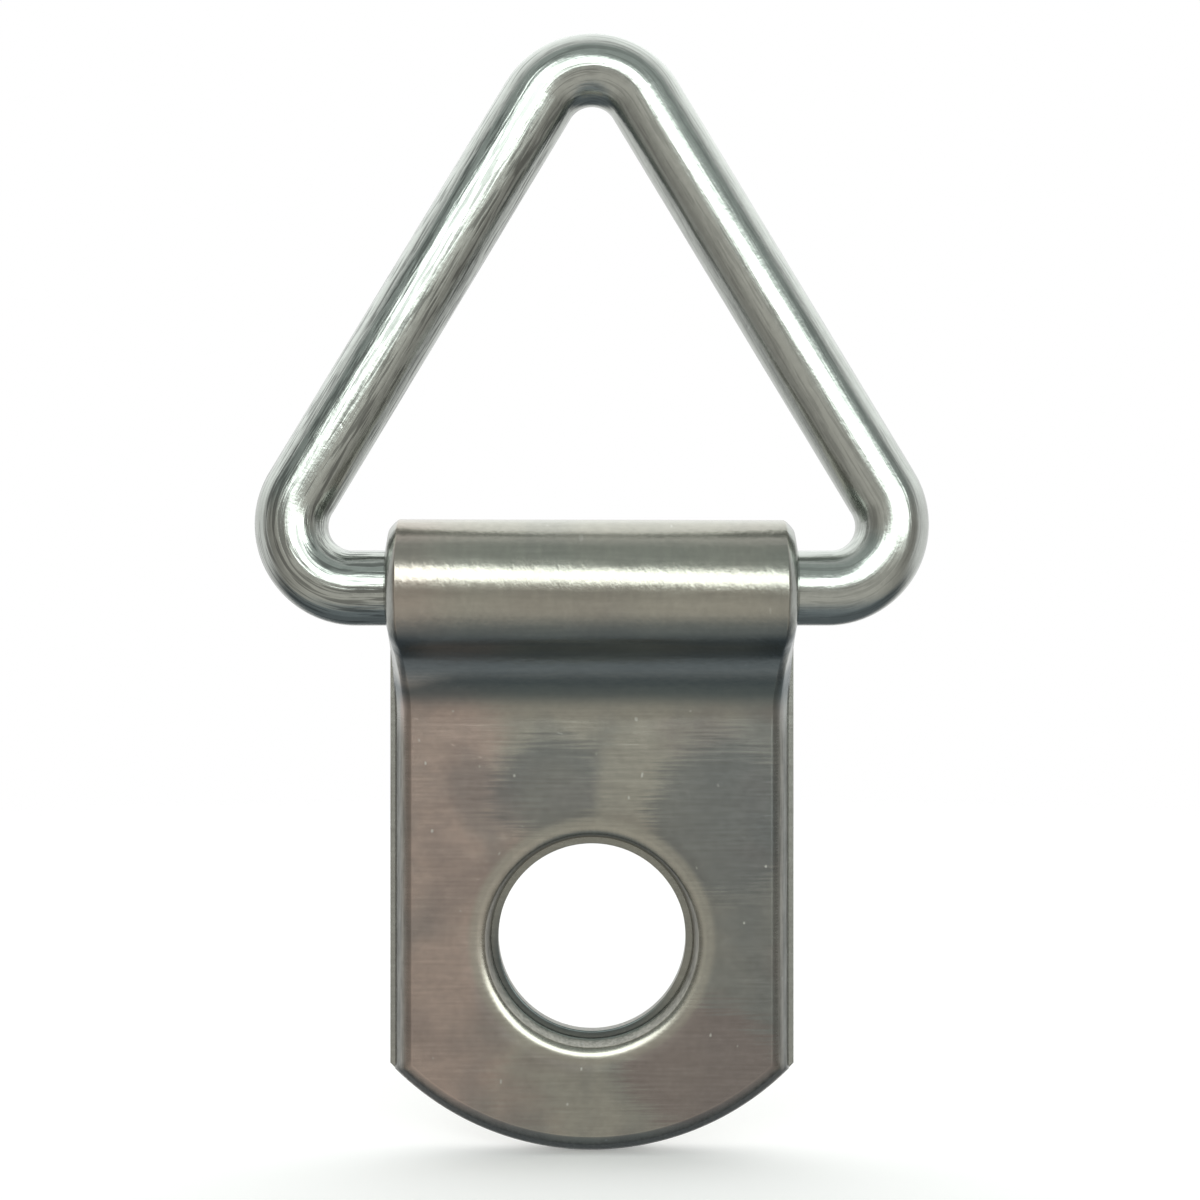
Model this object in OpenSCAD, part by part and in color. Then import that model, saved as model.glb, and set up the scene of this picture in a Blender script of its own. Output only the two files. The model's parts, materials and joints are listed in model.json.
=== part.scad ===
// Plaque hanger: a folded sheet strap with one screw hole, and a triangular wire ring that swings in it.
// Millimetres. +Z is up, the front faces -Y, and the back face lies on Y = 0.
// The origin is the centre of the screw hole, on the back face.

/* [Strap] */
// Width of the strap
strap_w = 12; // [9:0.5:16]
// Thickness of the sheet
sheet_t = 0.8; // [0.6:0.05:1]
// Gap between the two folded leaves
leaf_gap = 0.1; // [0.05:0.05:0.3]
// Height of the barrel's axis above the centre of the screw hole
axis_rise = 10.4; // [9:0.1:14]
// Depth of the strap's end below the centre of the screw hole
end_drop = 6.3; // [5:0.1:9]
// Radius of the arc that the strap's end is cut to
end_r = 8.3; // [7:0.1:12]
// Radius of the rolled edge all round the outer face of the sheet
edge_r = 0.25; // [0.1:0.05:0.4]
// How far a sheared edge stands out at the inner face, beyond its rolled edge
edge_slope = 0.2; // [0:0.05:0.3]
// How much narrower the front leaf is than the back one, on each side
front_inset = 0.15; // [0:0.05:0.4]

/* [Barrel and neck] */
// Clearance between the wire and the inside of the barrel, all round
wire_clearance = 0.1; // [0.05:0.05:0.3]
// Radius of the hollow where the front leaf turns out of the barrel
neck_r = 2.5; // [1.5:0.1:3.5]

/* [Screw hole] */
// Diameter of the hole in the front leaf, at its inner face
front_hole_d = 6; // [4.5:0.1:7]
// Diameter of the hole in the back leaf, which takes the screw
back_hole_d = 5.6; // [4:0.1:6]
// Radius of the rounded rim of each hole, on the outer face
hole_rim_r = 0.3; // [0.1:0.05:0.45]

/* [Ring] */
// Diameter of the wire
wire_d = 2.2; // [1.6:0.1:2.6]
// Width of the ring over its two lower corners
ring_w = 19.8; // [18:0.1:26]
// Angle between the two legs at the top
apex_angle = 61.5; // [50:0.5:75]
// Inside radius of the three bends
bend_in_r = 0.75; // [0.5:0.05:1.5]
// Gap between the two cut ends of the wire, in the middle of the barrel
wire_end_gap = 0.6; // [0.2:0.1:2]

/* [Hidden] */
$fn = 96;

// How far a cutting shape runs past the sheet that it cuts
past = 1;
// A bend swells by a trace on each face, and takes in the end of the straight length next to it
bend_swell = 0.004;
bend_lap = 0.04;

// Width of the front leaf and of the neck above it
front_w = strap_w - 2 * front_inset;

// Barrel, with its axis along X
wire_r = wire_d / 2;
barrel_in_r = wire_r + wire_clearance;
barrel_out_r = barrel_in_r + sheet_t;
axis_y = -barrel_out_r;
front_y = -(2 * sheet_t + leaf_gap);

// Neck: its hollow touches the barrel on one side and the face of the front leaf on the other
neck_out = neck_r - front_y - barrel_out_r;
neck_reach = barrel_out_r + neck_r;
wrap_angle = acos(neck_out / neck_reach);
barrel_lap_angle = bend_lap / barrel_out_r * 180 / PI;
neck_y = axis_y - neck_out;
neck_z = axis_rise - neck_reach * sin(wrap_angle);

// Ring, drawn flat with its base on the hinge axis
lean_side = apex_angle / 2;
bend_r = bend_in_r + wire_r;
corner_x = ring_w / 2 - wire_r - bend_r;
corner_z = bend_r;
base_half = corner_x + bend_r / tan((90 - lean_side) / 2);
apex_z = base_half / tan(lean_side) - bend_r / sin(lean_side);
leg_length = norm([corner_x, apex_z - corner_z]);
// At rest the top of the ring lies back on the plane of the back face
rest_lean = asin((barrel_out_r - wire_r) / (apex_z + bend_r));

// Turns a shape of revolution about Z to lie along X: 0 degrees is then the front, and 90 the underside
module along_strap_width() {
  rotate([-90, 0, 0])
    rotate([0, 90, 0])
      children();
}

// Turns a shape drawn on the XY plane to stand up, facing the front
module upright() {
  rotate([90, 0, 0])
    children();
}

// Section of a cut edge. The sheet lies to the left of x = 0, with its inner face on y = 0.
// The edge slopes in from the inner face and rolls over to the outer one, on y = sheet_t.
module cut_edge(depth, slope, roll_r, swell = 0) {
  roll_x = swell - slope - roll_r;
  roll_y = swell + sheet_t - roll_r;
  polygon([[-depth, -swell], [swell, -swell], [swell - slope, roll_y], [-depth, roll_y]]);
  translate([-depth, -swell])
    square([depth + roll_x, sheet_t + 2 * swell]);
  translate([roll_x, roll_y])
    circle(r = roll_r);
}

// Section across the strap, with its inner face on y = 0
module sheet_section(width, swell = 0) {
  for (side = [0, 1])
    mirror([side, 0])
      translate([width / 2, 0])
        cut_edge(width / 2 + past, edge_slope, edge_r, swell);
}

// The sheet wrapped round the wire, from the back leaf over the top to the underside
module barrel_bend() {
  translate([0, axis_y, axis_rise])
    along_strap_width()
      rotate_extrude(start = -180, angle = 180 + wrap_angle + barrel_lap_angle)
        translate([barrel_in_r, 0])
          rotate(-90)
            sheet_section(strap_w, bend_swell);
}

// The reverse bend that brings the sheet back to the front leaf
module neck_bend() {
  translate([0, neck_y, neck_z])
    along_strap_width()
      rotate_extrude(start = 180, angle = wrap_angle)
        translate([neck_r + sheet_t, 0])
          rotate(90)
            sheet_section(front_w, 2 * bend_swell);
}

// What the arc of the lower end takes off one leaf, drawn with its outer face up at z = sheet_t
module end_cut() {
  intersection() {
    translate([-strap_w, -end_r - past, -past])
      cube([2 * strap_w, end_r + past, sheet_t + 2 * past]);
    rotate_extrude()
      difference() {
        translate([end_r - past, -leaf_gap / 2])
          square([strap_w, sheet_t + leaf_gap / 2 + past]);
        translate([end_r, 0])
          cut_edge(2 * past, edge_slope, edge_r);
      }
  }
}

// A pierced hole of one leaf with its rounded rim, drawn with the outer face up at z = sheet_t
module pierced_hole(hole_d, slope) {
  rotate_extrude()
    difference() {
      translate([0, -leaf_gap / 2])
        square([hole_d / 2 + past, sheet_t + leaf_gap / 2 + past]);
      translate([hole_d / 2, 0])
        mirror([1, 0])
          cut_edge(2 * past, slope, hole_rim_r);
    }
}

// One flat leaf, drawn lying with its outer face up and the hole at the origin
module flat_leaf(width, top, hole_d, hole_slope) {
  difference() {
    translate([0, top + bend_lap, 0])
      rotate([90, 0, 0])
        linear_extrude(height = top + bend_lap + end_drop)
          sheet_section(width);
    translate([0, end_r - end_drop, 0])
      end_cut();
    pierced_hole(hole_d, hole_slope);
  }
}

module folded_strap() {
  color("#8c877c") {
    barrel_bend();
    neck_bend();
    translate([0, front_y + sheet_t, 0])
      upright()
        flat_leaf(front_w, neck_z, front_hole_d, edge_slope);
    translate([0, -sheet_t, 0])
      rotate([0, 0, 180])
        upright()
          flat_leaf(strap_w, axis_rise, back_hole_d, 0);
  }
}

// A length of wire along +X, with its seam on the outside of the ring like that of the bends
module straight_wire(from, to) {
  translate([from, 0, 0])
    rotate([-90, 0, -90])
      cylinder(r = wire_r, h = to - from);
}

// A bend of the wire about Z
module bent_wire(from, turn) {
  rotate_extrude(start = from, angle = turn)
    translate([bend_r, 0])
      circle(r = wire_r + bend_swell);
}

// Half of the ring, from the cut end in the barrel to the leg's upper end
module ring_side() {
  straight_wire(wire_end_gap / 2, corner_x + bend_lap);
  translate([corner_x, corner_z, 0]) {
    bent_wire(-90, 90 + lean_side);
    rotate([0, 0, lean_side])
      translate([bend_r, 0, 0])
        rotate([0, 0, 90])
          straight_wire(-bend_lap, leg_length + bend_lap);
  }
}

module triangle_ring() {
  color("#b9bbb6")
    translate([0, axis_y, axis_rise])
      rotate([-rest_lean, 0, 0])
        upright() {
          ring_side();
          mirror([1, 0, 0])
            ring_side();
          translate([0, apex_z, 0])
            bent_wire(lean_side, 180 - apex_angle);
        }
}

folded_strap();
triangle_ring();
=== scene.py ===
import json
import math
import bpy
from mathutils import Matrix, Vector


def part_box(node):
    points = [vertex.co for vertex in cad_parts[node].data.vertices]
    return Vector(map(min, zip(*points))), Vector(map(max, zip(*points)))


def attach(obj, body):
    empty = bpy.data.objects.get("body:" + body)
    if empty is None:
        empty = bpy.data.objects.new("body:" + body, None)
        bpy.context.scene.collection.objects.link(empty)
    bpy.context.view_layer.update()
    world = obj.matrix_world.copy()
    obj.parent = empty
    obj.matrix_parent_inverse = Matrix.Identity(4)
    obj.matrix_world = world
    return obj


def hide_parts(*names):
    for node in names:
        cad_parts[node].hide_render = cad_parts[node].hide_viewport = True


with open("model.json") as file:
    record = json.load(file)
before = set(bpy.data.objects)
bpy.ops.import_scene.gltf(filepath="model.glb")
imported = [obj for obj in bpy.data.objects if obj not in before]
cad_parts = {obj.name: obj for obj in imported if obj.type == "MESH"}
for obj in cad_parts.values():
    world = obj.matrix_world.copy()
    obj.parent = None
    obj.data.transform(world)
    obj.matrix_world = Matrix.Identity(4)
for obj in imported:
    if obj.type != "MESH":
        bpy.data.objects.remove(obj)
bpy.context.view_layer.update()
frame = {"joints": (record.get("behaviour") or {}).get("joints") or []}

from types import SimpleNamespace

import bmesh
import bpy
import numpy as np
from bpy.props import FloatProperty, FloatVectorProperty, PointerProperty
from bpy.types import Operator, Panel, PropertyGroup
from mathutils import Vector, noise

bl_info = {
    "name": "Plaque hanger",
    "version": (1, 0, 0),
    "blender": (4, 5, 0),
    "location": "View3D > Sidebar > Plaque hanger",
    "description": "Builds the pressed strap, the wire ring and the studio of a plaque hanger",
    "category": "Object",
}

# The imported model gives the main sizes
MM = 0.001
STRAP_LOW, STRAP_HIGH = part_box("folded_strap")
RING_LOW, RING_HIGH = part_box("triangle_ring")
HINGE_Y, HINGE_Z = frame["joints"][0]["pos_m"][1:]

# How finely the meshes are cut
STRIP_COLUMNS = 56
SIDE_STEPS = 36
ARC_STEPS = 80
SLOPE_STEPS = 4
ROLL_STEPS = 8
HALO_STEPS = 5
FACE_RINGS = 6
EDGE_LOOP = 0.01
LEAF_ROWS = 10
BARREL_ROWS = 100
NECK_ROWS = 40
WIRE_SIDES = 64
WIRE_STRAIGHT_STEPS = 40
WIRE_BEND_STEPS = 48
FLOOR_SIDES = 96
WELD = 2e-7

# The barrel's lip comes in over these lengths before and after the barrel's start, and the edge turns torn
# again over these lengths before and after the front leaf's start
LIP_BEFORE = 1.2 * MM
LIP_AFTER = 0.8 * MM
LEAF_BEFORE = 0.6 * MM
LEAF_AFTER = 0.8 * MM
# Share of the barrel that keeps the full width, and how much less torn the edge is between the leaves
FULL_WIDTH_SHARE = 0.75
SMOOTHED = 0.9

# Length of the sheet's slow waves
WAVE_LENGTH = 3.5 * MM
# The barrel's twist comes in between two angles from the barrel's start, goes out from an angle past half a
# turn on, and has a phase, all in radians
TWIST_FROM = 0.3
TWIST_FULL = 1.2
TWIST_PAST = 0.3
TWIST_PHASE = math.radians(20)

# Two bands of painted shade across the neck, standing in for the dark reflections in its hollow: where
# each begins, is full, thins out and ends, in millimetres from the neck's start
UPPER_SHADE_BAND = (-0.5, -0.2, 0.5, 0.9)
LOWER_SHADE_BAND = (1.25, 1.95, 2.3, 3.3)
# How far the lower band sags at the left end, in millimetres, and over which shares of the width
SHADE_SAG = 0.5
SHADE_SAG_SPAN = (0.3, 0.5)
# How thick the upper band is in the middle, what is added at its ends, and over which shares of the width
UPPER_SHADE_MIDDLE = 0.35
UPPER_SHADE_ENDS = 0.45
UPPER_SHADE_SPAN = (0.36, 0.46)
# The painted shade in the recess between the leaves at the screw hole: its least thickness, and how far its
# thickest place lies to the left
HOLE_SHADE_LEAST = 0.3
HOLE_SHADE_LEAN = 0.45

# Chamfer on the wire's cut ends, as a share of its radius, and the share of a bend's flattening that goes
# into its width
WIRE_CHAMFER = 0.25
WIRE_SPREAD = 0.5

# Grains of the two finishes: stretch along three axes, then scale, detail and roughness of the noise
SHEET_GRAINS = {
    "cloud": ((1.0, 0.8, 0.2), 0.33, 2.0, 0.5),
    "grey": ((1.0, 0.75, 0.2), 0.48, 3.0, 0.4),
    "dusk": ((0.9, 1.1, 0.2), 0.41, 2.0, 0.45),
    "brushed": ((0.35, 8.0, 1.0), 1.6, 3.0, 0.6),
    "mottle": ((1.0, 1.0, 1.0), 4.5, 2.0, 0.5),
    "fine": ((1.0, 1.0, 1.0), 13.0, 2.0, 0.5),
    "nicks": ((1.0, 0.6, 1.0), 5.0, 0.0, 0.5),
    "pits": ((1.0, 1.0, 1.0), 2.6, 1.0, 0.5),
    "scratches": ((0.5, 7.0, 1.0), 0.9, 0.0, 0.5),
    "torn": ((4.0, 4.0, 0.5), 1.6, 3.0, 0.65),
    "burr": ((7.0, 0.5, 5.0), 1.6, 2.0, 0.6),
}
WIRE_GRAINS = {
    "lines": ((2.2, 2.2, 0.11), 2.2, 2.0, 0.5),
    "keen": ((5.0, 5.0, 0.28), 2.1, 2.0, 0.6),
    "mottle": ((1.0, 1.0, 1.0), 4.5, 2.0, 0.5),
    "fine": ((1.0, 1.0, 1.0), 12.0, 2.0, 0.5),
    "pits": ((1.0, 1.0, 1.0), 3.2, 1.0, 0.5),
}
# Levels of a grain between which a mark sets in
SHEET_MARKS = {"pits": (0.72, 0.80), "scratches": (0.79, 0.86), "nicks": (0.82, 0.88)}
WIRE_MARKS = {"pits": (0.77, 0.84), "keen": (0.50, 0.60)}
# Height of one step of the fine relief, and the height or depth of each grain in steps
RELIEF_STEP = 0.0011 * MM
SHEET_RELIEF = {"mottle": 7.0, "fine": 3.0, "brushed": 0.5, "pits": 2.0, "scratches": 0.7, "torn": 7.0}
WIRE_RELIEF = {"lines": 14.0, "keen": 11.0, "mottle": 3.2, "fine": 1.7, "pits": 2.4}
# How much the roughness differs along the brush marks and drawn lines, and on the sheared edges
GLOSS_SPREAD = 0.12
# How the sheet's brightness is made up: a base, and what the mottle, the brush marks and the burr add
BASE_TONE = 0.79
MOTTLE_TONE = 0.22
BRUSH_TONE = 0.20
BURR_TONE = 0.14

# Tinted patches on the front leaf: tint, place across, height over the screw hole, half width, half height
# and strength, with the lengths in millimetres
PATCHES = (
    ("slate", -1.3, 4.6, 1.7, 1.7, 0.6),
    ("straw", 1.0, 4.4, 0.9, 2.0, 0.7),
    ("slate", 3.7, 3.6, 2.1, 2.4, 0.65),
    ("dusky", 3.2, -3.6, 2.6, 2.0, 0.8),
)

# How soft the arched lamp's outline is
LAMP_SOFTNESS = math.radians(3)
# Where the small lamp stands, to the right and below the horizon, and how wide its core and soft edge are
LOW_LAMP_TURN = math.radians(45)
LOW_LAMP_RISE = math.radians(-3)
LOW_LAMP_CORE = math.radians(3)
LOW_LAMP_EDGE = math.radians(9)
WHITE = (1.0, 1.0, 1.0, 1.0)

# The floor lies a trace under the strap's end, and starts to fade at this share of its radius
FLOOR_GAP = 0.01 * MM
FLOOR_FADE_FROM = 0.35


def length(name, description, default):
    """A property that holds a length in metres."""
    return FloatProperty(name=name, description=description, default=default, min=0.0,
                         precision=5, subtype="DISTANCE", unit="LENGTH")


def turn(name, description, degrees):
    """A property that holds an angle."""
    return FloatProperty(name=name, description=description, default=math.radians(degrees),
                         subtype="ANGLE", unit="ROTATION")


def share(name, description, default):
    """A property that holds a share between nought and one."""
    return FloatProperty(name=name, description=description, default=default, min=0.0, max=1.0,
                         subtype="FACTOR")


def level(name, description, default):
    """A property that holds a plain number, such as a brightness."""
    return FloatProperty(name=name, description=description, default=default, min=0.0)


def tint(name, description, default):
    """A property that holds a colour."""
    return FloatVectorProperty(name=name, description=description, default=default, size=3,
                               min=0.0, max=1.0, subtype="COLOR")


class StrapSettings(PropertyGroup):
    """Sizes and finish of the folded strap."""

    width: length("Width", "Width of the back leaf and the barrel", STRAP_HIGH.x - STRAP_LOW.x)
    sheet: length("Sheet", "Thickness of the sheet", 0.8 * MM)
    leaf_gap: length("Leaf gap", "Gap between the two leaves", 0.1 * MM)
    end_drop: length("End drop", "Depth of the end below the screw hole", -STRAP_LOW.z)
    end_radius: length("End radius", "Radius of the arc at the end", 8.3 * MM)
    front_inset: length("Front inset", "How much narrower the front leaf is, each side", 0.15 * MM)
    neck_radius: length("Neck radius", "Radius of the hollow under the barrel", 2.5 * MM)
    edge_slope: length("Edge slope", "How far a sheared edge slopes in", 0.3 * MM)
    edge_roll: length("Edge roll", "Width of the rolled edge on the outer face", 0.26 * MM)
    edge_depth: length("Edge depth", "Depth of the rolled edge", 0.18 * MM)
    edge_fullness: level("Edge fullness", "Form of the rolled edge: 1 is a bevel, 2 is round", 1.15)
    lip_slope: length("Lip slope", "How far the barrel's sheared edge slopes in", 0.1 * MM)
    lip_roll: length("Lip roll", "Width of the rolled lip at each end of the barrel", 0.29 * MM)
    lip_depth: length("Lip depth", "Depth of that rolled lip", 0.3 * MM)
    lip_fullness: level("Lip fullness", "Form of that lip: 1 is a bevel, 2 is round", 1.2)
    front_hole: length("Front hole", "Radius of the front hole at its inner face", 3.0 * MM)
    back_hole: length("Back hole", "Radius of the back hole", 2.8 * MM)
    hole_slope: length("Hole slope", "How far the front hole opens towards its rim", 0.13 * MM)
    rim_roll: length("Rim roll", "Width of the rolled rim of a hole", 0.37 * MM)
    rim_depth: length("Rim depth", "Depth of the rolled rim of a hole", 0.2 * MM)
    halo: length("Halo", "Width of the shallow dish round a hole", 0.42 * MM)
    halo_depth: length("Halo depth", "Depth of the shallow dish round a hole", 0.02 * MM)
    wave: length("Waviness", "Height of the slow waves in the sheet", 0.004 * MM)
    twist: length("Twist", "How far the barrel is pressed out of round towards its ends", 0.035 * MM)
    # Rosy to slate: tints of the plate, whose fall in brightness to the right is a painted reflection
    rosy: tint("Rosy nickel", "Colour of the plate on the left", (0.45, 0.37, 0.325))
    straw: tint("Straw nickel", "Colour of the plate in the middle", (0.375, 0.368, 0.32))
    slate: tint("Slate nickel", "Colour of the plate on the right", (0.188, 0.206, 0.208))
    dusky: tint("Dusky nickel", "Colour of the plate's darker patches", (0.275, 0.236, 0.222))
    cool: tint("Cool nickel", "Colour of the plate in the hollow of the neck", (0.375, 0.4, 0.4))
    # Painted highlight: the lighter ring round the screw hole
    rim_highlight: tint("Worn nickel", "Colour of the rubbed rim of the screw hole", (0.44, 0.43, 0.37))
    shorn: tint("Shorn nickel", "Colour of the strap's two side edges", (0.375, 0.392, 0.37))
    nick: tint("Nicks", "Colour of the small bright nicks", (0.62, 0.64, 0.6))
    # Painted shade: colour and strength of the darkening in the neck's bands and at the screw hole
    shade_tint: tint("Soot", "Colour of the grime in the neck and inside the screw hole", (0.015, 0.045, 0.06))
    shade_strength: share("Tarnish", "How much the grime covers the plate", 0.71)
    torn: share("Torn metal", "How much darker the sheared edges are", 0.46)
    roughness: share("Roughness", "Roughness of the plated sheet", 0.23)


class RingSettings(PropertyGroup):
    """Sizes and finish of the wire ring."""

    wire: length("Wire", "Diameter of the wire", 2.2 * MM)
    width: length("Width", "Width over the two lower corners", RING_HIGH.x - RING_LOW.x)
    apex: turn("Apex angle", "Angle between the two legs", 61.5)
    bend: length("Bend", "Inside radius of the three bends", 0.75 * MM)
    end_gap: length("End gap", "Gap between the cut ends in the barrel", 0.6 * MM)
    flattening: share("Flattening", "How much a bend flattens the wire", 0.03)
    bright: tint("Bright nickel", "Colour of the plated wire", (0.45, 0.472, 0.442))
    # The darker colour of the drawn lines is painted dark reflection beside the highlights
    streak_shade_share: share("Dulling", "How much of that colour is left in the drawn lines", 0.5)
    roughness: share("Roughness", "Roughness of the plated wire", 0.2)


class StudioSettings(PropertyGroup):
    """Camera, light and floor."""

    centre_x: length("Aim across", "Where the camera looks, to the right of the strap", 0.24 * MM)
    centre_z: length("Aim height", "Height that the camera looks at", 10.05 * MM)
    distance: length("Distance", "From the camera to the face of the front leaf", 70 * MM)
    frame_height: length("Frame height", "Height of the picture at that distance", 35.3 * MM)
    key: level("Key light", "Brightness of the arched lamp in front", 3.5)
    rim: level("Rim light", "Extra brightness of the room above and behind", 0.55)
    lamp_rise: turn("Lamp height", "Height of the arched lamp's middle over the horizon", 18.8)
    lamp_arch: turn("Lamp arch", "How much the lamp rises for one radian to the side", 15.0)
    lamp_tilt: turn("Lamp tilt", "How much the lamp falls for one radian to the right", 11.0)
    lamp_depth: turn("Lamp depth", "Half of the lamp's height", 11.5)
    lamp_reach: turn("Lamp reach", "Half of the lamp's width", 40.5)
    lamp_turn: turn("Lamp turn", "How far the lamp stands to the right", 10.5)
    upper: tint("Upper room", "Colour of the room above", (0.455, 0.503, 0.49))
    lower: tint("Lower room", "Colour of the room in front", (0.68, 0.655, 0.61))
    nadir: tint("Room below", "Colour of the room straight below", (0.25, 0.285, 0.31))
    axis_shade: share("Camera shade", "How much the camera's side of the room is shaded", 0.26)
    side_shade: share("Side shade", "How much the two sides of the room are shaded", 0.55)
    lamp: tint("Lamp", "Colour of the lamps", (0.94, 1.0, 0.985))
    low_lamp: level("Low lamp", "Brightness of a small lamp low on the right", 0.5)
    floor: tint("Floor", "Colour of the floor", (0.87, 0.86, 0.85))
    floor_lift: level("Floor lift", "How much paler the camera sees the floor", 0.14)
    floor_radius: length("Floor radius", "Where the floor has faded out", 130 * MM)


class Fold:
    """The strap's path from the end of the back leaf, round the barrel, to the end of the front leaf.
    It is measured along the inner face of the sheet."""

    def __init__(self, strap):
        self.sheet = strap.sheet
        self.end_drop = strap.end_drop
        self.gap = strap.leaf_gap
        self.barrel_in = -HINGE_Y - strap.sheet
        self.neck_in = strap.neck_radius + strap.sheet
        front_face = 2 * strap.sheet + strap.leaf_gap
        neck_out = strap.neck_radius + front_face + HINGE_Y
        reach = strap.neck_radius - HINGE_Y
        self.wrap = math.acos(neck_out / reach)
        self.neck_y = HINGE_Y - neck_out
        self.neck_z = HINGE_Z - reach * math.sin(self.wrap)
        self.barrel_from = HINGE_Z + strap.end_drop
        self.neck_from = self.barrel_from + self.barrel_in * (math.pi + self.wrap)
        self.front_from = self.neck_from + self.neck_in * self.wrap

    def back_place(self, z):
        """Path length at a height on the back leaf."""
        return z + self.end_drop

    def front_place(self, z):
        """Path length at a height on the front leaf."""
        return self.front_from + self.neck_z - z

    def fold(self, x, s, t):
        """Folded places of points that lie x across, s along and t through the flat sheet."""
        on_barrel = np.clip(s - self.barrel_from, 0, self.neck_from - self.barrel_from) / self.barrel_in
        on_neck = np.clip(s - self.neck_from, 0, self.front_from - self.neck_from) / self.neck_in
        y = np.where(s < self.barrel_from, t - self.sheet, 0.0)
        z = np.where(s < self.barrel_from, s - self.end_drop, 0.0)
        barrel = (s >= self.barrel_from) & (s < self.neck_from)
        y = np.where(barrel, HINGE_Y + (self.barrel_in + t) * np.cos(on_barrel), y)
        z = np.where(barrel, HINGE_Z + (self.barrel_in + t) * np.sin(on_barrel), z)
        neck = (s >= self.neck_from) & (s < self.front_from)
        y = np.where(neck, self.neck_y + (self.neck_in - t) * np.cos(self.wrap - on_neck), y)
        z = np.where(neck, self.neck_z + (self.neck_in - t) * np.sin(self.wrap - on_neck), z)
        front = s >= self.front_from
        y = np.where(front, -self.sheet - self.gap - t, y)
        z = np.where(front, self.neck_z - (s - self.front_from), z)
        return np.stack([x, y, z], axis=-1)


def grid_faces(rows, columns, closed, first=0):
    """Faces between the rows of a grid of points and, if closed, all the way round each row."""
    faces = []
    for row in range(rows - 1):
        low = first + row * columns
        high = low + columns
        for column in range(columns if closed else columns - 1):
            after = (column + 1) % columns
            faces.append((low + column, low + after, high + after, high + column))
    return faces


class FlatSheet:
    """Points and faces of the sheet before it is folded."""

    def __init__(self):
        self.points = []
        self.sheared = []
        self.faces = []
        self.count = 0

    def add(self, x, s, t, sheared, closed):
        """Adds a grid of points and its faces."""
        x, s, t, sheared = np.broadcast_arrays(x, s, t, sheared)
        rows, columns = x.shape
        self.points.append(np.stack([x, s, t], axis=-1).reshape(-1, 3))
        self.sheared.append(sheared.reshape(-1))
        self.faces.extend(grid_faces(rows, columns, closed, self.count))
        self.count += rows * columns


def smooth_step(value, low, high):
    """Rises smoothly from nought at low to one at high."""
    share_of = np.clip((value - low) / (high - low), 0.0, 1.0)
    return share_of * share_of * (3 - 2 * share_of)


def edge_profile(sheet, slope, roll, depth, fullness):
    """Inset, height and shear of the points from the inner face over a sheared edge to the outer face."""
    roll_start = sheet - depth
    rise = np.linspace(0, 1, SLOPE_STEPS + 1)
    around = np.linspace(0, math.pi / 2, ROLL_STEPS + 1)[1:]
    power = 2 / fullness
    inset = np.concatenate([rise * slope, slope + roll * (1 - np.cos(around) ** power)])
    height = np.concatenate([rise * roll_start, roll_start + depth * np.sin(around) ** power])
    sheared = np.concatenate([np.minimum(rise * SLOPE_STEPS, 1.0), 1 - np.sin(around)])
    return inset, height, sheared


def leaf_edge(strap):
    """Profile of a leaf's sheared edge."""
    return edge_profile(strap.sheet, strap.edge_slope, strap.edge_roll,
                        strap.edge_depth, strap.edge_fullness)


def barrel_lip(strap):
    """Profile of the barrel's sheared edge."""
    return edge_profile(strap.sheet, strap.lip_slope, strap.lip_roll,
                        strap.lip_depth, strap.lip_fullness)


def rim_profile(strap, radius, slope):
    """Radius, height and shear of the points from the inner face up a hole's wall to the outer face."""
    top = strap.sheet - strap.halo_depth
    wall_top = top - strap.rim_depth
    rise = np.linspace(0, 1, SLOPE_STEPS + 1)
    around = np.linspace(0, math.pi / 2, ROLL_STEPS + 1)[1:]
    out = np.linspace(0, 1, HALO_STEPS + 1)[1:]
    places = np.concatenate([radius + rise * slope,
                             radius + slope + strap.rim_roll * (1 - np.cos(around)),
                             radius + slope + strap.rim_roll + out * strap.halo])
    height = np.concatenate([rise * wall_top,
                             wall_top + strap.rim_depth * np.sin(around),
                             top + strap.halo_depth * smooth_step(out, 0, 1)])
    sheared = np.concatenate([np.minimum(rise * SLOPE_STEPS, 1.0), 1 - np.sin(around), 0 * out])
    return places, height, sheared


def columns_across(half):
    """Places across a face, closer together towards its edges."""
    return half * np.sin(np.linspace(-math.pi / 2, math.pi / 2, STRIP_COLUMNS + 1))


def leaf_outline(strap, half, top, inset):
    """Down the left side of a leaf, round its end arc and up the right side, all drawn in by an inset."""
    radius = strap.end_radius - inset
    middle = strap.end_radius - strap.end_drop
    side = half - inset
    corner = math.asin(side / radius)
    down = np.linspace(top, middle - radius * math.cos(corner), SIDE_STEPS + 1)
    swing = np.linspace(-corner, corner, ARC_STEPS + 1)[1:-1]
    x = np.concatenate([0 * down - side, radius * np.sin(swing), 0 * down + side])
    z = np.concatenate([down, middle - radius * np.cos(swing), down[::-1]])
    return x, z


def face_loop(strap, half, top, inset):
    """The closed outline of a leaf's face: its sides and end, then back along its top line."""
    x, z = leaf_outline(strap, half, top, inset)
    back = columns_across(half - inset)[::-1][1:-1]
    return np.concatenate([x, back]), np.concatenate([z, 0 * back + top])


def add_face(flat, place, angle, radius, outline, height):
    """Adds one face of a leaf, in rings from the edge of its hole to its outline."""
    x, z = outline
    between = np.linspace(0, 1, FACE_RINGS + 1)[1:-1]
    out = np.concatenate([[0, EDGE_LOOP], between, [1 - EDGE_LOOP, 1]])[:, None]
    flat.add(radius * np.cos(angle) * (1 - out) + x * out,
             place(radius * np.sin(angle) * (1 - out) + z * out), height, 0.0, closed=True)


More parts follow.
